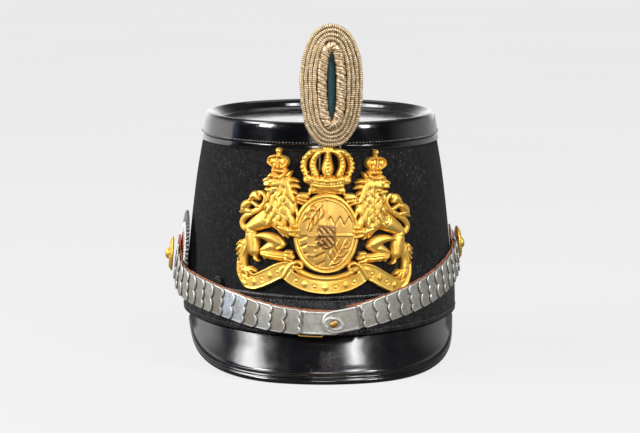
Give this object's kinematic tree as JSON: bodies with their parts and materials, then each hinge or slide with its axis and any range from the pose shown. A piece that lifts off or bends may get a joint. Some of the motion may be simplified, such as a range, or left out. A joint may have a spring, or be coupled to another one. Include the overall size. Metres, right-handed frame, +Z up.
{
  "type": "shako",
  "caption": "Tapering cylindrical felt shako with patent leather crown and two peaks, relief front plate, scaled chin strap, side cockade and tall oval badge.",
  "frame": {"origin": "centre of the hat's box on the surface that it stands on", "axes": "+Z up through the crown, -Y towards the front peak and the plate, +X towards the wearer's left"},
  "size_m": [0.1918, 0.2448, 0.2178],
  "materials": {
    "felt": "matt napped black cloth over felt",
    "patent_leather": "glossy patent leather",
    "band_leather": "grained satin leather",
    "gilt": "gilt, polished on the high parts",
    "bullion": "wound metal thread, pale gold",
    "green_cloth": "blue-green cloth",
    "black_leather": "matt black leather",
    "steel_wire": "drawn wire",
    "nickel": "dull worn nickel",
    "strap_leather": "worn brown edge",
    "brass": "dull brass",
    "cockade_black": "black lacquered metal, fluted",
    "cockade_silver": "silvered, fluted",
    "cockade_red": "dark red lacquer"
  },
  "bodies": {
    "root": {"badge_backing": "black_leather", "badge_coils": "bullion", "badge_core": "green_cloth", "badge_prong_left": "steel_wire", "badge_prong_right": "steel_wire", "badge_roll": "bullion", "base_band": "band_leather", "boss_left": "gilt", "boss_right": "gilt", "centre_stud": "brass", "cockade_centre": "cockade_red", "cockade_outer_ring": "cockade_black", "cockade_silver_ring": "cockade_silver", "crown_lid": "patent_leather", "crown_side_band": "patent_leather", "crown_strip": "patent_leather", "end_plate_left": "nickel", "end_plate_right": "nickel", "felt_body": "felt", "front_peak": "patent_leather", "plate": "gilt", "rear_peak": "patent_leather", "scale_left_01": "nickel", "scale_left_02": "nickel", "scale_left_03": "nickel", "scale_left_04": "nickel", "scale_left_05": "nickel", "scale_left_06": "nickel", "scale_left_07": "nickel", "scale_left_08": "nickel", "scale_left_09": "nickel", "scale_left_10": "nickel", "scale_left_11": "nickel", "scale_left_12": "nickel", "scale_left_13": "nickel", "scale_left_14": "nickel", "scale_right_01": "nickel", "scale_right_02": "nickel", "scale_right_03": "nickel", "scale_right_04": "nickel", "scale_right_05": "nickel", "scale_right_06": "nickel", "scale_right_07": "nickel", "scale_right_08": "nickel", "scale_right_09": "nickel", "scale_right_10": "nickel", "scale_right_11": "nickel", "scale_right_12": "nickel", "scale_right_13": "nickel", "scale_right_14": "nickel", "strap_buckle": "brass", "strap_keeper": "black_leather", "strap_leather_left": "strap_leather", "strap_leather_right": "strap_leather"}
  },
  "joints": []
}
